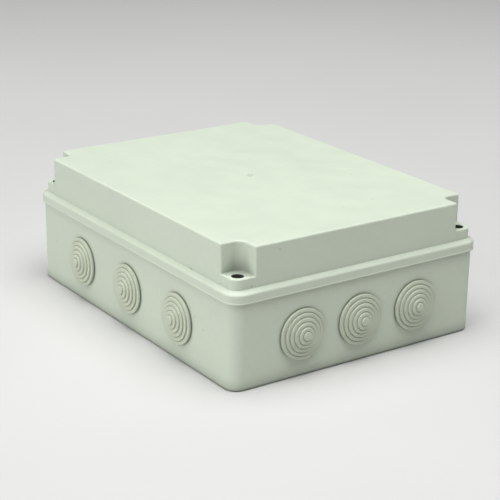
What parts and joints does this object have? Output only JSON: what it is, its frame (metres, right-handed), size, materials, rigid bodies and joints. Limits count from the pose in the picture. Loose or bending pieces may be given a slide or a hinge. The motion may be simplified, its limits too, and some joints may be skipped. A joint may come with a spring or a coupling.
{
  "type": "electrical junction box",
  "caption": "Deep surface-mount junction box in light grey plastic with stepped cable grommets on every side and a gasketed lid whose captive screws sit sunk in cut-down corners.",
  "frame": {"origin": "centre of the flat back face of the base, the face that is fixed to a wall", "axes": "+Z out of the wall, through the lid; X along the long side; -Y is the long side called front"},
  "size_m": [0.2516, 0.1996, 0.088],
  "materials": {
    "box_grey": "satin moulded thermoplastic, light grey with a slight green cast",
    "grommet_grey": "soft matt elastomer, matched grey and a little yellower",
    "gasket_dark": "matt black sealing rubber",
    "screw_steel": "plain stainless steel, lightly turned",
    "insert_brass": "turned brass",
    "cap_grey": "matt moulded plastic, light grey"
  },
  "bodies": {
    "base": {"base_box": "box_grey", "grommet_front_1": "grommet_grey", "grommet_front_2": "grommet_grey", "grommet_front_3": "grommet_grey", "grommet_right_1": "grommet_grey", "grommet_right_2": "grommet_grey", "grommet_right_3": "grommet_grey", "grommet_back_1": "grommet_grey", "grommet_back_2": "grommet_grey", "grommet_back_3": "grommet_grey", "grommet_left_1": "grommet_grey", "grommet_left_2": "grommet_grey", "grommet_left_3": "grommet_grey", "screw_insert_1": "insert_brass", "screw_insert_2": "insert_brass", "screw_insert_3": "insert_brass", "screw_insert_4": "insert_brass", "fixing_cap_1": "cap_grey", "fixing_cap_2": "cap_grey", "fixing_cap_3": "cap_grey", "fixing_cap_4": "cap_grey"},
    "lid": {"lid": "box_grey", "lid_gasket": "gasket_dark"},
    "screw_ring_1": {"screw_ring_1": "gasket_dark"},
    "screw_ring_2": {"screw_ring_2": "gasket_dark"},
    "screw_ring_3": {"screw_ring_3": "gasket_dark"},
    "screw_ring_4": {"screw_ring_4": "gasket_dark"},
    "lid_screw_1": {"lid_screw_1": "screw_steel"},
    "lid_screw_2": {"lid_screw_2": "screw_steel"},
    "lid_screw_3": {"lid_screw_3": "screw_steel"},
    "lid_screw_4": {"lid_screw_4": "screw_steel"}
  },
  "joints": [
    {"name": "lid_lift", "type": "slide", "parent": "base", "child": "lid", "axis": [0, 0, 1], "range_m": [0, 0.09]},
    {"name": "screw_rise_1", "type": "slide", "parent": "lid", "child": "screw_ring_1", "axis": [0, 0, 1], "range_m": [0, 0.0091]},
    {"name": "screw_rise_2", "type": "slide", "parent": "lid", "child": "screw_ring_2", "axis": [0, 0, 1], "range_m": [0, 0.0091]},
    {"name": "screw_rise_3", "type": "slide", "parent": "lid", "child": "screw_ring_3", "axis": [0, 0, 1], "range_m": [0, 0.0091]},
    {"name": "screw_rise_4", "type": "slide", "parent": "lid", "child": "screw_ring_4", "axis": [0, 0, 1], "range_m": [0, 0.0091]},
    {"name": "screw_turn_1", "type": "hinge", "parent": "screw_ring_1", "child": "lid_screw_1", "pos_m": [-0.1101, -0.0841, 0.0603], "axis": [0, 0, 1], "range_deg": [0, 4680]},
    {"name": "screw_turn_2", "type": "hinge", "parent": "screw_ring_2", "child": "lid_screw_2", "pos_m": [0.1101, -0.0841, 0.0603], "axis": [0, 0, 1], "range_deg": [0, 4680]},
    {"name": "screw_turn_3", "type": "hinge", "parent": "screw_ring_3", "child": "lid_screw_3", "pos_m": [0.1101, 0.0841, 0.0603], "axis": [0, 0, 1], "range_deg": [0, 4680]},
    {"name": "screw_turn_4", "type": "hinge", "parent": "screw_ring_4", "child": "lid_screw_4", "pos_m": [-0.1101, 0.0841, 0.0603], "axis": [0, 0, 1], "range_deg": [0, 4680]}
  ],
  "couplings": [
    {"joint": "screw_turn_1", "follows": "screw_rise_1", "rad_per_m": 8976},
    {"joint": "screw_turn_2", "follows": "screw_rise_2", "rad_per_m": 8976},
    {"joint": "screw_turn_3", "follows": "screw_rise_3", "rad_per_m": 8976},
    {"joint": "screw_turn_4", "follows": "screw_rise_4", "rad_per_m": 8976}
  ]
}
